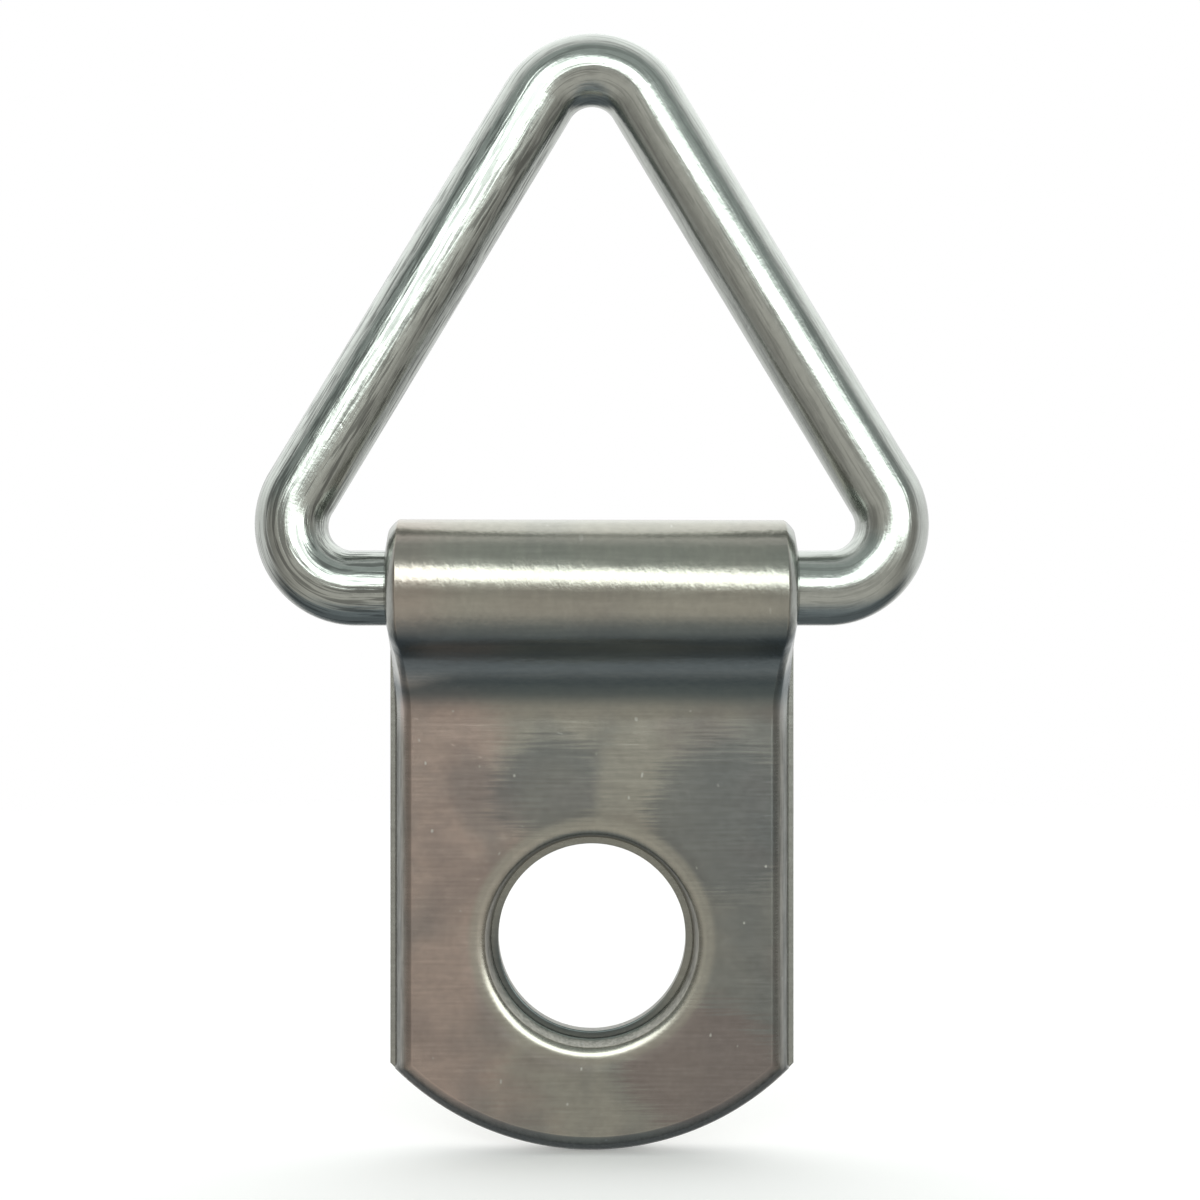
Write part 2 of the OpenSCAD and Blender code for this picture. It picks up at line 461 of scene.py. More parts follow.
def add_leaf(flat, strap, half, top, place, hole, slope):
    """Adds one leaf: its sheared edges, its pierced hole and both its faces."""
    inset, height, sheared = leaf_edge(strap)
    edges = [leaf_outline(strap, half, top, drawn_in) for drawn_in in inset]
    flat.add(np.array([x for x, z in edges]), place(np.array([z for x, z in edges])),
             height[:, None], sheared[:, None], closed=False)
    radii, rim_height, rim_sheared = rim_profile(strap, hole, slope)
    outer = face_loop(strap, half, top, inset[-1])
    angle = np.arctan2(outer[1], outer[0])
    flat.add(radii[:, None] * np.cos(angle), place(radii[:, None] * np.sin(angle)),
             rim_height[:, None], rim_sheared[:, None], closed=True)
    add_face(flat, place, angle, radii[-1], outer, strap.sheet)
    add_face(flat, place, angle, radii[0], face_loop(strap, half, top, 0.0), 0.0)


def once_round(inner, right, outer, left):
    """Values round a section of the sheet: inner face, one edge up, outer face and the other edge down."""
    return np.concatenate([inner, right[1:-1], outer, left[-2:0:-1]])


def add_strip(flat, strap, fold, top):
    """Adds the length between the two leaves, which goes round the barrel and through the neck."""
    rows = np.concatenate([
        np.linspace(fold.back_place(top), fold.barrel_from, LEAF_ROWS + 1)[:-1],
        np.linspace(fold.barrel_from, fold.neck_from, BARREL_ROWS + 1)[:-1],
        np.linspace(fold.neck_from, fold.front_from, NECK_ROWS + 1)[:-1],
        np.linspace(fold.front_from, fold.front_place(top), LEAF_ROWS + 1),
    ])
    narrow_from = fold.barrel_from + FULL_WIDTH_SHARE * (fold.neck_from - fold.barrel_from)
    narrowing = smooth_step(rows, narrow_from, fold.front_from)
    onto_barrel = smooth_step(rows, fold.barrel_from - LIP_BEFORE, fold.barrel_from + LIP_AFTER)
    onto_leaf = smooth_step(rows, fold.front_from - LEAF_BEFORE, fold.front_from + LEAF_AFTER)
    inset, height, sheared = leaf_edge(strap)
    lip_inset, lip_height = barrel_lip(strap)[:2]
    sections = []
    heights = []
    for half, lip in zip(strap.width / 2 - strap.front_inset * narrowing, onto_barrel * (1 - narrowing)):
        side = half - (inset + (lip_inset - inset) * lip)
        raised = height + (lip_height - height) * lip
        inner = columns_across(half)
        outer = columns_across(side[-1])[::-1]
        sections.append(once_round(inner, side, outer, -side))
        heights.append(once_round(0 * inner, raised, 0 * outer + strap.sheet, raised))
    plain = np.zeros(STRIP_COLUMNS + 1)
    torn = 1 - SMOOTHED * onto_barrel * (1 - onto_leaf)
    marks = once_round(plain, sheared, plain, sheared) * torn[:, None]
    flat.add(np.array(sections), rows[:, None], np.array(heights), marks, closed=True)


def sheet_wave(points, strap, fold):
    """Slow waves that a pressed sheet keeps, and the barrel's twist, as heights over the flat points."""
    waves = np.array([strap.wave * noise.noise(Vector((p[0] / WAVE_LENGTH, p[1] / WAVE_LENGTH, 0.0)))
                      for p in points])
    turned = (points[:, 1] - fold.barrel_from) / fold.barrel_in
    coming_in = smooth_step(turned, TWIST_FROM, TWIST_FULL)
    going_out = smooth_step(turned, math.pi + TWIST_PAST, math.pi + fold.wrap)
    across = points[:, 0] / (strap.width / 2)
    return waves + strap.twist * across * coming_in * (1 - going_out) * np.sin(2 * turned + TWIST_PHASE)


def neck_painted_shade(points, strap, fold):
    """How much painted shade each point of the flat sheet gets in the two bands across the neck."""
    along = (points[:, 1] - fold.neck_from) / MM
    across = points[:, 0] / strap.width
    begins, full, thins, ends = UPPER_SHADE_BAND
    upper = smooth_step(along, begins, full) * (1 - smooth_step(along, thins, ends))
    to_ends = smooth_step(np.abs(across), *UPPER_SHADE_SPAN)
    upper = upper * (UPPER_SHADE_MIDDLE + UPPER_SHADE_ENDS * to_ends)
    begins, full, thins, ends = LOWER_SHADE_BAND
    sag = SHADE_SAG * smooth_step(-across, *SHADE_SAG_SPAN)
    return upper + smooth_step(along - sag, begins, full) * (1 - smooth_step(along, thins, ends))


def hole_painted_shade(points, places, strap):
    """How much painted shade each point gets in the recess between the leaves at the screw hole."""
    radius = np.hypot(places[:, 0], places[:, 2])
    below = -(places[:, 2] + HOLE_SHADE_LEAN * places[:, 0]) / np.maximum(radius, WELD)
    inside = 1 - smooth_step(points[:, 2], 0.0, 0.2 * strap.sheet)
    near_hole = 1 - smooth_step(radius, strap.front_hole, strap.front_hole + strap.rim_roll)
    lying = HOLE_SHADE_LEAST + (1 - HOLE_SHADE_LEAST) * smooth_step(below, -0.1, 0.8)
    return inside * near_hole * lying


def finish_mesh(name, places, faces, attributes):
    """Welds the points, turns the faces outwards and stores the attributes that the material reads."""
    mesh = bpy.data.meshes.new(name)
    mesh.from_pydata(places.tolist(), [], faces)
    for attribute, (kind, values) in attributes.items():
        layer = mesh.attributes.new(attribute, kind, "POINT")
        field = "vector" if kind == "FLOAT_VECTOR" else "value"
        layer.data.foreach_set(field, np.asarray(values, np.float32).reshape(-1))
    welded = bmesh.new()
    welded.from_mesh(mesh)
    bmesh.ops.remove_doubles(welded, verts=welded.verts, dist=WELD)
    bmesh.ops.recalc_face_normals(welded, faces=welded.faces)
    for face in welded.faces:
        face.smooth = True
    welded.to_mesh(mesh)
    welded.free()
    piece = bpy.data.objects.new(name, mesh)
    bpy.context.scene.collection.objects.link(piece)
    return piece


class HANGER_OT_strap(Operator):
    """Builds the folded strap from a flat sheet, with rolled and sheared edges"""

    bl_idname = "hanger.strap"
    bl_label = "Folded strap"

    def execute(self, context):
        strap = context.scene.hanger_strap
        fold = Fold(strap)
        # The leaves end half way between the dish round the hole and the neck
        dish = strap.front_hole + strap.hole_slope + strap.rim_roll + strap.halo
        top = 0.5 * fold.neck_z + 0.5 * dish
        flat = FlatSheet()
        add_leaf(flat, strap, strap.width / 2, top, fold.back_place, strap.back_hole, 0.0)
        add_strip(flat, strap, fold, top)
        add_leaf(flat, strap, strap.width / 2 - strap.front_inset, top, fold.front_place,
                 strap.front_hole, strap.hole_slope)
        points = np.concatenate(flat.points)
        places = fold.fold(points[:, 0], points[:, 1], points[:, 2] + sheet_wave(points, strap, fold))
        # Painted shade: dark bands across the neck and in the recess between the leaves at the hole
        grime = np.maximum(neck_painted_shade(points, strap, fold), hole_painted_shade(points, places, strap))
        piece = finish_mesh("pressed_strap", places, flat.faces, {
            "sheet_place": ("FLOAT_VECTOR", points / MM),
            "sheared": ("FLOAT", np.concatenate(flat.sheared)),
            "grime": ("FLOAT", grime),
        })
        piece.data.materials.append(plated_sheet(strap, fold))
        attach(piece, "strap")
        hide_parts("folded_strap")
        return {"FINISHED"}


def wire_path(ring):
    """Points and outward directions along the wire, flat, with the hinge axis on height nought.
    The third list says how much of a bend each point lies in."""
    half_angle = ring.apex / 2
    radius = ring.bend + ring.wire / 2
    corner_x = ring.width / 2 - ring.wire / 2 - radius
    base_half = corner_x + radius / math.tan((math.pi / 2 - half_angle) / 2)
    apex_z = base_half / math.tan(half_angle) - radius / math.sin(half_angle)
    straight = np.linspace(0, 1, WIRE_STRAIGHT_STEPS + 1)
    bend = np.linspace(0, 1, WIRE_BEND_STEPS + 1)
    half_bend = bend[:WIRE_BEND_STEPS // 2 + 1]
    corner = -math.pi / 2 + bend * (math.pi / 2 + half_angle)
    crown = half_angle + half_bend * 2 * (math.pi / 2 - half_angle)
    leg_from = np.array([corner_x + radius * math.cos(half_angle), radius + radius * math.sin(half_angle)])
    leg_to = np.array([radius * math.cos(half_angle), apex_z + radius * math.sin(half_angle)])
    base_x = ring.end_gap / 2 + straight * (corner_x - ring.end_gap / 2)
    half_points = np.concatenate([
        np.stack([base_x, 0 * straight], axis=1)[:-1],
        np.stack([corner_x + radius * np.cos(corner), radius + radius * np.sin(corner)], axis=1)[:-1],
        (leg_from + straight[:, None] * (leg_to - leg_from))[:-1],
        np.stack([radius * np.cos(crown), apex_z + radius * np.sin(crown)], axis=1),
    ])
    half_outward = np.concatenate([
        np.stack([0 * straight, 0 * straight - 1], axis=1)[:-1],
        np.stack([np.cos(corner), np.sin(corner)], axis=1)[:-1],
        np.tile([math.cos(half_angle), math.sin(half_angle)], (WIRE_STRAIGHT_STEPS, 1)),
        np.stack([np.cos(crown), np.sin(crown)], axis=1),
    ])
    half_bent = np.concatenate([0 * straight[:-1], np.sin(math.pi * bend)[:-1],
                                0 * straight[:-1], np.sin(math.pi * half_bend)])
    mirror = np.array([-1, 1])
    points = np.concatenate([half_points, half_points[-2::-1] * mirror])
    outward = np.concatenate([half_outward, half_outward[-2::-1] * mirror])
    bent = np.concatenate([half_bent, half_bent[-2::-1]])
    return points, outward, bent


def wire_tube(ring):
    """Places and faces of the bent wire, the same places on the straight wire, and its length."""
    radius = ring.wire / 2
    points, outward, bent = wire_path(ring)
    lean = math.asin((-HINGE_Y - radius) / points[:, 1].max())
    steps = np.linalg.norm(np.diff(points, axis=0), axis=1)
    along = np.concatenate([[0.0], np.cumsum(steps)])
    from_end = np.minimum(along, along[-1] - along)
    thick = radius * np.minimum(1.0, 1 - WIRE_CHAMFER + from_end / radius)[:, None]
    pressed = ring.flattening * bent[:, None]
    around = np.linspace(0, 2 * math.pi, WIRE_SIDES, endpoint=False)
    in_plane = thick * (1 - pressed) * np.cos(around)
    out_plane = thick * (1 + WIRE_SPREAD * pressed) * np.sin(around)
    x = points[:, :1] + outward[:, :1] * in_plane
    up = points[:, 1:] + outward[:, 1:] * in_plane
    y = HINGE_Y + up * math.sin(lean) - out_plane * math.cos(lean)
    z = HINGE_Z + up * math.cos(lean) + out_plane * math.sin(lean)
    rows, columns = x.shape
    faces = grid_faces(rows, columns, closed=True)
    faces.append(tuple(range(columns)))
    faces.append(tuple(range((rows - 1) * columns, rows * columns)))
    straight = np.broadcast_arrays(radius * np.cos(around), radius * np.sin(around), along[:, None])
    return np.stack([x, y, z], axis=-1).reshape(-1, 3), faces, np.stack(straight, axis=-1), along[-1]


class HANGER_OT_ring(Operator):
    """Builds the triangular ring from one length of drawn wire"""

    bl_idname = "hanger.ring"
    bl_label = "Triangle ring"

    def execute(self, context):
        ring = context.scene.hanger_ring
        places, faces, straight, wire_length = wire_tube(ring)
        piece = finish_mesh("bent_ring", places, faces, {
            "wire_place": ("FLOAT_VECTOR", straight / MM),
        })
        piece.data.materials.append(plated_wire(ring, wire_length))
        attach(piece, "ring")
        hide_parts("triangle_ring")
        return {"FINISHED"}


class Nodes:
    """Short ways to add shader nodes to a tree."""

    def __init__(self, tree):
        self.tree = tree
        tree.nodes.clear()

    def add(self, kind, inputs=None, **settings):
        """Adds a node, sets it up and feeds its inputs with values or other nodes' outputs."""
        node = self.tree.nodes.new(kind)
        for name, value in settings.items():
            setattr(node, name, value)
        for name, value in (inputs or {}).items():
            if isinstance(value, bpy.types.NodeSocket):
                self.tree.links.new(value, node.inputs[name])
            else:
                node.inputs[name].default_value = value
        return node

    def math(self, operation, first, second=0.0):
        """Output of a calculation with one or two values."""
        return self.add("ShaderNodeMath", {0: first, 1: second}, operation=operation).outputs[0]

    def plus(self, first, second):
        """Output of two values added up."""
        return self.math("ADD", first, second)

    def minus(self, first, second):
        """Output of one value less another."""
        return self.math("SUBTRACT", first, second)

    def times(self, first, second):
        """Output of two values multiplied."""
        return self.math("MULTIPLY", first, second)

    def rise(self, value, low, high, to_low=0.0, to_high=1.0):
        """Output that goes smoothly from one value to another."""
        node = self.add("ShaderNodeMapRange", {"Value": value, "From Min": low, "From Max": high,
                                               "To Min": to_low, "To Max": to_high},
                        interpolation_type="SMOOTHSTEP")
        return node.outputs["Result"]

    def within(self, value, reach, softness):
        """Output that is one where a value lies within reach of nought, on either side."""
        return self.rise(self.math("ABSOLUTE", value), reach - softness, reach + softness, 1.0, 0.0)

    def blend(self, factor, first, second):
        """Output of a mix of two colours."""
        return self.add("ShaderNodeMix", {0: factor, 6: first, 7: second}, data_type="RGBA").outputs[2]

    def shaded(self, colour, brightness):
        """Output of a colour times a brightness."""
        scaled = self.add("ShaderNodeVectorMath", {0: colour, "Scale": brightness}, operation="SCALE")
        return scaled.outputs[0]

    def stretched(self, vector, scale):
        """Output of a vector scaled along its three axes."""
        return self.add("ShaderNodeVectorMath", {0: vector, 1: scale}, operation="MULTIPLY").outputs[0]

    def apart(self, vector, centre, scale):
        """Output of the distance from a centre, scaled along the three axes."""
        offset = self.add("ShaderNodeVectorMath", {0: vector, 1: centre}, operation="SUBTRACT").outputs[0]
        offset = self.stretched(offset, scale)
        return self.add("ShaderNodeVectorMath", {0: offset}, operation="LENGTH").outputs["Value"]

    def attribute(self, name, output):
        """Output of an attribute of the mesh."""
        return self.add("ShaderNodeAttribute", attribute_name=name).outputs[output]

    def grains(self, place, table):
        """Outputs of a finish's noise textures, by their names."""
        outputs = {}
        for name, (stretch, scale, detail, roughness) in table.items():
            grain = self.add("ShaderNodeTexNoise", {
                "Vector": self.stretched(place, stretch), "Scale": scale,
                "Detail": detail, "Roughness": roughness})
            outputs[name] = grain.outputs["Fac"]
        return outputs

    def plated(self, colour, roughness, height):
        """Ends a material as bare metal with a fine relief."""
        bump = self.add("ShaderNodeBump", {"Strength": 1.0, "Distance": RELIEF_STEP, "Height": height})
        shader = self.add("ShaderNodeBsdfPrincipled", {
            "Base Color": colour, "Metallic": 1.0, "Roughness": roughness, "Normal": bump.outputs[0]})
        self.add("ShaderNodeOutputMaterial", {"Surface": shader.outputs[0]})


def opaque(colour):
    """A colour with its alpha."""
    return (*colour, 1.0)


def new_material(name):
    """A material with an empty node tree."""
    material = bpy.data.materials.new(name)
    material.use_nodes = True
    return material, Nodes(material.node_tree)


def sheet_tints(nodes, strap, fold, sheet):
    """Colour of the plate: rosy, straw and slate from left to right, with clouds and patches over it."""
    drift = nodes.times(nodes.minus(sheet.cloud, 0.5), 4.5)
    ragged = nodes.times(nodes.minus(sheet.brushed, 0.5), 1.6)
    side = nodes.times(nodes.plus(nodes.plus(sheet.across, drift), ragged), sheet.on_leaf)
    # The hues are tints; the plate growing darker from rosy left to slate right is a painted reflection
    colour = nodes.blend(nodes.rise(side, -3.6, -0.8), opaque(strap.rosy), opaque(strap.straw))
    colour = nodes.blend(nodes.rise(side, 1.4, 4.6, 0.0, 0.6), colour, opaque(strap.slate))
    for grain, low, tinted in ((sheet.grey, 0.46, strap.slate), (sheet.dusk, 0.48, strap.dusky)):
        cloudy = nodes.times(nodes.rise(grain, low, 0.68, 0.0, 0.4), sheet.on_leaf)
        colour = nodes.blend(cloudy, colour, opaque(tinted))
    fray = nodes.times(nodes.minus(nodes.plus(sheet.cloud, sheet.brushed), 1.0), 0.9)
    for name, x, z, half_x, half_z, strength in PATCHES:
        centre = (x, fold.front_place(z * MM) / MM, 0.0)
        apart = nodes.apart(sheet.place, centre, (1 / half_x, 1 / half_z, 0.0))
        patch = nodes.rise(nodes.plus(apart, fray), 0.7, 1.15, strength, 0.0)
        colour = nodes.blend(patch, colour, opaque(getattr(strap, name)))
    return colour


def sheet_wear(nodes, strap, fold, sheet, colour):
    """The plate's colour: the cool neck, the sheared edges, the rim's painted highlight and the nicks."""
    into_neck = nodes.rise(sheet.along, sheet.neck_from - 0.45, sheet.neck_from - 0.1, 0.0, 0.6)
    out_of_neck = nodes.rise(sheet.along, sheet.leaf_from - 2.4, sheet.leaf_from - 0.6, 1.0, 0.0)
    face_half = (strap.width / 2 - strap.lip_slope - strap.lip_roll) / MM
    on_side = nodes.rise(nodes.math("ABSOLUTE", sheet.across), face_half, face_half + 0.1, 0.0, 0.8)
    # A lighter, warmer ring round the hole: a painted highlight for the light its shallow dish catches
    rim = (strap.front_hole + strap.hole_slope + strap.rim_roll) / MM
    from_hole = nodes.apart(sheet.place, (0.0, fold.front_place(0.0) / MM, 0.0), (1.0, 1.0, 0.0))
    on_rim = nodes.rise(from_hole, rim - 0.02, rim + 0.24, 0.7, 0.0)
    nicked = nodes.times(nodes.rise(sheet.nicks, *SHEET_MARKS["nicks"], 0.0, 0.6), sheet.on_leaf)
    for factor, tinted in ((nodes.times(into_neck, out_of_neck), strap.cool),
                           (nodes.times(sheet.sheared, 0.8), strap.straw),
                           (on_side, strap.shorn), (on_rim, strap.rim_highlight), (nicked, strap.nick)):
        colour = nodes.blend(factor, colour, opaque(tinted))
    return colour


def sheet_tone(nodes, strap, sheet):
    """Brightness of the plate: mottled, brushed, and darker where the metal is torn."""
    tone = nodes.plus(nodes.times(sheet.mottle, MOTTLE_TONE), nodes.times(sheet.brushed, BRUSH_TONE))
    tone = nodes.plus(tone, nodes.times(sheet.sheared, -strap.torn))
    burr = nodes.rise(sheet.burr, 0.3, 0.7, -BURR_TONE, BURR_TONE)
    tone = nodes.plus(tone, nodes.times(sheet.sheared, burr))
    return nodes.plus(tone, BASE_TONE)


def sheet_relief(nodes, sheet):
    """Height of the relief in steps: grain on the bends, brush marks, pits, scratches and torn metal."""
    onto_bend = nodes.rise(sheet.along, sheet.barrel_from - 1.0, sheet.barrel_from, 0.3, 1.0)
    off_bend = nodes.rise(sheet.along, sheet.leaf_from - 2.5, sheet.leaf_from - 0.5, 1.0, 0.25)
    height = nodes.plus(nodes.times(sheet.mottle, SHEET_RELIEF["mottle"]),
                        nodes.times(sheet.fine, SHEET_RELIEF["fine"]))
    height = nodes.times(height, nodes.times(onto_bend, off_bend))
    height = nodes.plus(height, nodes.times(sheet.brushed, SHEET_RELIEF["brushed"]))
    for name in ("pits", "scratches"):
        cut = nodes.rise(getattr(sheet, name), *SHEET_MARKS[name])
        height = nodes.minus(height, nodes.times(cut, SHEET_RELIEF[name]))
    on_edge = nodes.rise(sheet.sheared, 0.7, 1.0, 0.0, SHEET_RELIEF["torn"])
    return nodes.plus(height, nodes.times(sheet.torn, on_edge))


def plated_sheet(strap, fold):
    """Nickel over brushed sheet: tinted patches, brush marks, pits, and torn metal on the sheared edges."""
    material, nodes = new_material("plated_sheet")
    place = nodes.attribute("sheet_place", "Vector")
    spread = nodes.add("ShaderNodeSeparateXYZ", {0: place})
    sheet = SimpleNamespace(place=place, across=spread.outputs["X"], along=spread.outputs["Y"],
                            sheared=nodes.attribute("sheared", "Fac"),
                            grime=nodes.attribute("grime", "Fac"),
                            barrel_from=fold.barrel_from / MM, neck_from=fold.neck_from / MM,
                            leaf_from=fold.front_from / MM, **nodes.grains(place, SHEET_GRAINS))
    sheet.on_leaf = nodes.rise(sheet.along, sheet.leaf_from - 2.5, sheet.leaf_from + 1.0, 0.35, 1.0)
    colour = sheet_wear(nodes, strap, fold, sheet, sheet_tints(nodes, strap, fold, sheet))
    colour = nodes.shaded(colour, sheet_tone(nodes, strap, sheet))
    # Painted shade: the neck's bands and the recess at the screw hole darken towards a dark blue-grey
    colour = nodes.blend(nodes.times(sheet.grime, strap.shade_strength), colour, opaque(strap.shade_tint))
    roughness = nodes.plus(nodes.times(sheet.brushed, GLOSS_SPREAD), strap.roughness - GLOSS_SPREAD / 2)
    roughness = nodes.plus(roughness, nodes.times(sheet.sheared, GLOSS_SPREAD))
    nodes.plated(colour, roughness, sheet_relief(nodes, sheet))
    return material


def plated_wire(ring, wire_length):
    """Bright nickel over drawn wire: lines along the wire, pits and a slightly uneven gloss."""
    material, nodes = new_material("plated_wire")
    place = nodes.attribute("wire_place", "Vector")
    along = nodes.add("ShaderNodeSeparateXYZ", {0: place}).outputs["Z"]
    wire = SimpleNamespace(**nodes.grains(place, WIRE_GRAINS))
    # The left leg is the more marked one: the wire runs from the barrel up the right leg and down the left
    marked = nodes.rise(along, 0.45 * wire_length / MM, 0.6 * wire_length / MM, 0.35, 1.0)
    height = nodes.minus(nodes.times(wire.lines, WIRE_RELIEF["lines"]),
                         nodes.times(wire.keen, WIRE_RELIEF["keen"]))
    height = nodes.plus(nodes.times(height, marked), nodes.times(wire.mottle, WIRE_RELIEF["mottle"]))
    height = nodes.plus(height, nodes.times(wire.fine, WIRE_RELIEF["fine"]))
    pits = nodes.rise(wire.pits, *WIRE_MARKS["pits"])
    height = nodes.minus(height, nodes.times(pits, WIRE_RELIEF["pits"]))
    # The lines' relief is real; darkening their colour too is painted dark reflection beside the highlights
    streak_shade = tuple(ring.streak_shade_share * part for part in ring.bright)
    painted_dark_streaks = nodes.times(nodes.rise(wire.keen, *WIRE_MARKS["keen"]), marked)
    colour = nodes.blend(painted_dark_streaks, opaque(ring.bright), opaque(streak_shade))
    colour = nodes.shaded(colour, nodes.plus(nodes.times(wire.mottle, 0.2), 0.9))
    roughness = nodes.plus(nodes.times(wire.lines, GLOSS_SPREAD), ring.roughness - GLOSS_SPREAD / 2)
    nodes.plated(colour, roughness, height)
    return material


def arched_lamp(nodes, parts, studio):
    """Share of a long soft lamp in front, which rises towards its two ends."""
    azimuth = nodes.math("ARCTAN2", parts.outputs["X"], nodes.times(parts.outputs["Y"], -1.0))
    elevation = nodes.math("ARCSINE", parts.outputs["Z"])
    side = nodes.minus(azimuth, studio.lamp_turn)
    arch = nodes.times(nodes.times(side, side), studio.lamp_arch)
    middle = nodes.minus(nodes.plus(arch, studio.lamp_rise), nodes.times(azimuth, studio.lamp_tilt))
    high = nodes.within(nodes.minus(elevation, middle), studio.lamp_depth, LAMP_SOFTNESS)
    return nodes.times(high, nodes.within(side, studio.lamp_reach, LAMP_SOFTNESS))


def low_lamp(nodes, direction):
    """Share of the small round lamp low on the right."""
    centre = Vector((math.sin(LOW_LAMP_TURN), -math.cos(LOW_LAMP_TURN), math.sin(LOW_LAMP_RISE)))
    centre.normalize()
    facing = nodes.add("ShaderNodeVectorMath", {0: direction, 1: centre}, operation="DOT_PRODUCT")
    return nodes.rise(facing.outputs["Value"], math.cos(LOW_LAMP_EDGE), math.cos(LOW_LAMP_CORE))


def room_walls(nodes, parts, studio):
    """Colour of the room: tinted and partly shaded in front, darker below and white behind."""
    # Parts of a direction of length one: back is 1 straight behind the hanger and -1 at the camera
    back = parts.outputs["Y"]
    height = parts.outputs["Z"]
    sunk = nodes.minus(height, nodes.rise(back, -0.15, 0.35, 0.0, 0.4))
    front = nodes.blend(nodes.rise(sunk, -1.0, -0.64), opaque(studio.nadir), opaque(studio.lower))
    front = nodes.blend(nodes.rise(height, 0.15, 0.5), front, opaque(studio.upper))
    near_camera = nodes.rise(back, -0.90, -0.985, 1.0, 1.0 - studio.axis_shade)
    to_side = nodes.rise(nodes.math("ABSOLUTE", parts.outputs["X"]), 0.5, 1.0, 1.0, 1.0 - studio.side_shade)
    past_hanger = nodes.rise(back, -0.15, 0.35, 1.0, 0.6)
    shade = nodes.times(nodes.times(near_camera, to_side), past_hanger)
    behind = nodes.times(nodes.rise(back, -0.32, 0.2), nodes.rise(height, -0.6, -0.2))
    return nodes.blend(behind, nodes.shaded(front, shade), WHITE)


def pale_room(studio):
    """A world that is white behind the hanger and a darker room in front, with the lamps in it."""
    world = bpy.data.worlds.new("pale_room")
    world.use_nodes = True
    bpy.context.scene.world = world
    nodes = Nodes(world.node_tree)
    direction = nodes.add("ShaderNodeTexCoord").outputs["Generated"]
    parts = nodes.add("ShaderNodeSeparateXYZ", {0: direction})
    over_back = nodes.times(nodes.rise(parts.outputs["Y"], -0.05, 0.5),
                            nodes.rise(parts.outputs["Z"], 0.1, 0.5))
    lamps = nodes.times(arched_lamp(nodes, parts, studio), studio.key)
    lamps = nodes.plus(lamps, nodes.times(over_back, studio.rim))
    lamps = nodes.plus(lamps, nodes.times(low_lamp(nodes, direction), studio.low_lamp))
    walls = nodes.add("ShaderNodeBackground", {"Color": room_walls(nodes, parts, studio), "Strength": 1.0})
    lamp = nodes.add("ShaderNodeBackground", {"Color": opaque(studio.lamp), "Strength": lamps})
    lit = nodes.add("ShaderNodeAddShader", {0: walls.outputs[0], 1: lamp.outputs[0]})
    plain = nodes.add("ShaderNodeBackground", {"Color": WHITE, "Strength": 1.0})
    path = nodes.add("ShaderNodeLightPath")
    seen = nodes.math("MAXIMUM", path.outputs["Is Camera Ray"], path.outputs["Is Transmission Ray"])
    mix = nodes.add("ShaderNodeMixShader", {0: seen, 1: lit.outputs[0], 2: plain.outputs[0]})
    nodes.add("ShaderNodeOutputWorld", {"Surface": mix.outputs[0]})


def floor_paint(studio):
    """Matt white that fades out towards the floor's edge, a little paler to the camera."""
    material, nodes = new_material("pale_floor")
    place = nodes.add("ShaderNodeTexCoord").outputs["Object"]
    out = nodes.add("ShaderNodeVectorMath", {0: place}, operation="LENGTH").outputs["Value"]
    fading = nodes.rise(out, FLOOR_FADE_FROM * studio.floor_radius, studio.floor_radius)
    seen = nodes.times(nodes.add("ShaderNodeLightPath").outputs["Is Camera Ray"], studio.floor_lift)
    lift = nodes.add("ShaderNodeEmission", {"Strength": seen})
    paint = nodes.add("ShaderNodeBsdfDiffuse", {"Color": opaque(studio.floor)})
    matt = nodes.add("ShaderNodeAddShader", {0: paint.outputs[0], 1: lift.outputs[0]})
    clear = nodes.add("ShaderNodeBsdfTransparent")
    mix = nodes.add("ShaderNodeMixShader", {0: fading, 1: matt.outputs[0], 2: clear.outputs[0]})
    nodes.add("ShaderNodeOutputMaterial", {"Surface": mix.outputs[0]})
    return material


def pale_floor(studio):
    """A round floor under the strap's end, which fades out into the white room."""
    mesh = bpy.data.meshes.new("floor")
    disc = bmesh.new()
    bmesh.ops.create_circle(disc, cap_ends=True, segments=FLOOR_SIDES, radius=studio.floor_radius)
    disc.to_mesh(mesh)
    disc.free()
    mesh.materials.append(floor_paint(studio))
    floor = bpy.data.objects.new("floor", mesh)
    floor.location = (0.0, 0.0, STRAP_LOW.z - FLOOR_GAP)
    floor.visible_glossy = False
    bpy.context.scene.collection.objects.link(floor)


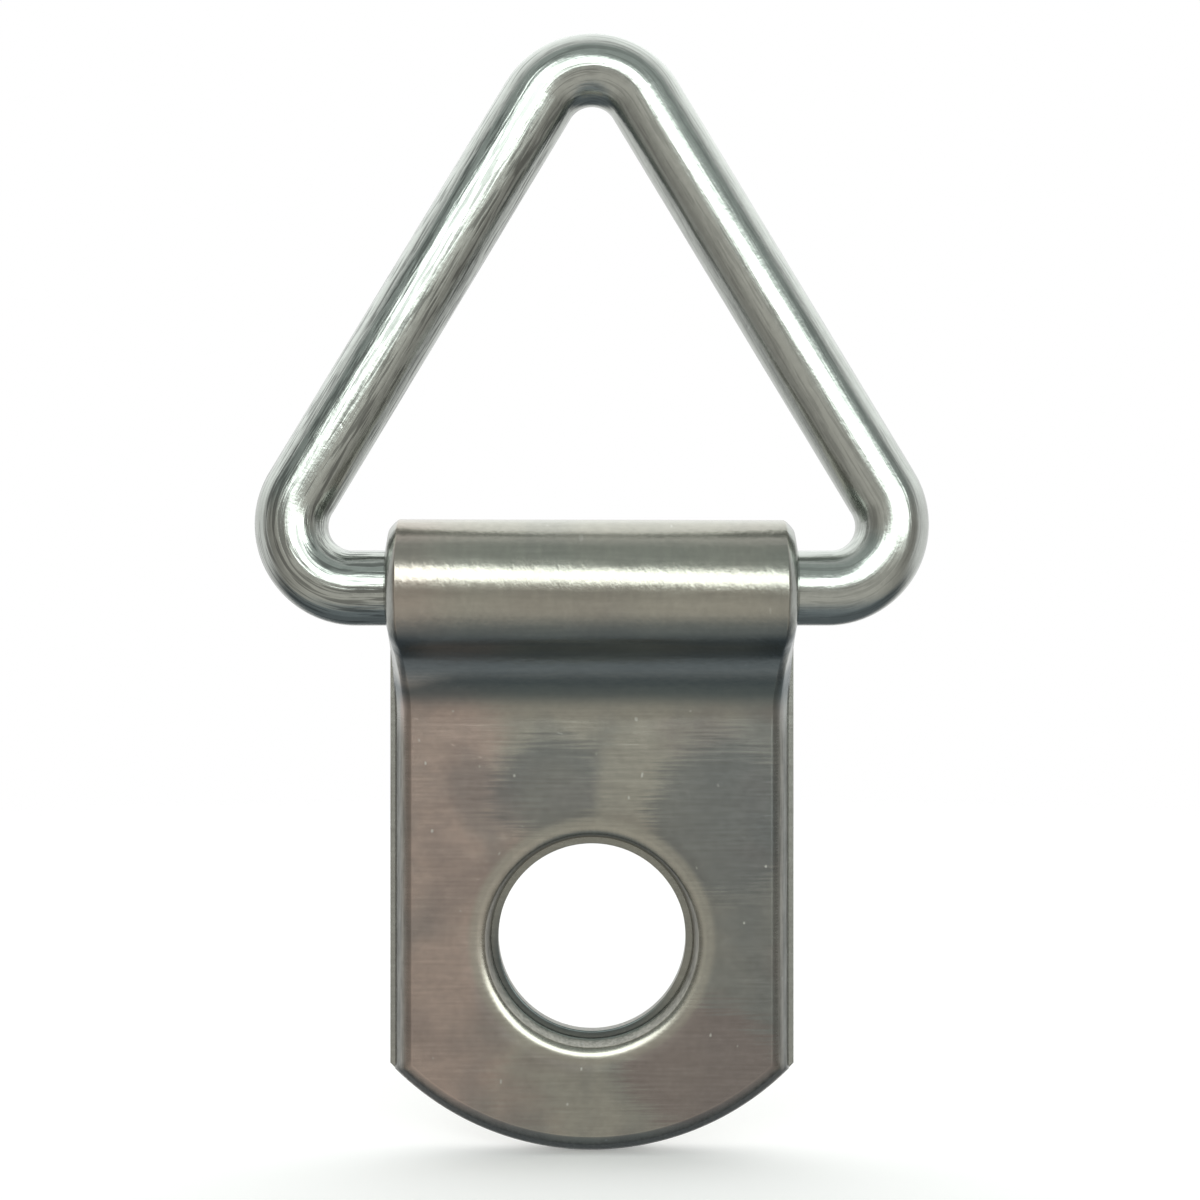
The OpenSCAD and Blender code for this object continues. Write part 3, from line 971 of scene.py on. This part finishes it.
def front_camera(scene, studio, strap):
    """A camera straight in front, set so that the picture is the given height at the front leaf."""
    camera = bpy.data.cameras.new("camera")
    camera.sensor_width = 36.0
    camera.lens = camera.sensor_width * studio.distance / studio.frame_height
    camera.clip_start = 1 * MM
    camera.clip_end = 10.0
    holder = bpy.data.objects.new("camera", camera)
    face = -(2 * strap.sheet + strap.leaf_gap)
    holder.location = (studio.centre_x, face - studio.distance, studio.centre_z)
    holder.rotation_euler = (math.pi / 2, 0.0, 0.0)
    scene.collection.objects.link(holder)
    scene.camera = holder


class HANGER_OT_studio(Operator):
    """Sets up the pale room with its lamps, the floor and the camera"""

    bl_idname = "hanger.studio"
    bl_label = "Studio"

    def execute(self, context):
        scene = context.scene
        scene.view_settings.view_transform = "Standard"
        pale_room(scene.hanger_studio)
        pale_floor(scene.hanger_studio)
        front_camera(scene, scene.hanger_studio, scene.hanger_strap)
        return {"FINISHED"}


class HANGER_PT_sidebar(Panel):
    """Sizes, finishes and steps of the plaque hanger"""

    bl_idname = "HANGER_PT_sidebar"
    bl_label = "Plaque hanger"
    bl_space_type = "VIEW_3D"
    bl_region_type = "UI"
    bl_category = "Plaque hanger"

    def draw(self, context):
        for group, step in ((context.scene.hanger_strap, "hanger.strap"),
                            (context.scene.hanger_ring, "hanger.ring"),
                            (context.scene.hanger_studio, "hanger.studio")):
            box = self.layout.box()
            for name in group.__annotations__:
                box.prop(group, name)
            box.operator(step)


CLASSES = (StrapSettings, RingSettings, StudioSettings, HANGER_OT_strap, HANGER_OT_ring,
           HANGER_OT_studio, HANGER_PT_sidebar)
GROUPS = {"hanger_strap": StrapSettings, "hanger_ring": RingSettings, "hanger_studio": StudioSettings}


def register():
    """Registers the classes and gives each scene its settings."""
    for item in CLASSES:
        bpy.utils.register_class(item)
    for name, group in GROUPS.items():
        setattr(bpy.types.Scene, name, PointerProperty(type=group))


def unregister():
    """Takes the settings and the classes away again."""
    for name in GROUPS:
        delattr(bpy.types.Scene, name)
    for item in reversed(CLASSES):
        bpy.utils.unregister_class(item)


def main():
    """Builds the hanger and its studio."""
    register()
    bpy.ops.hanger.strap()
    bpy.ops.hanger.ring()
    bpy.ops.hanger.studio()


if __name__ == "__main__":
    main()
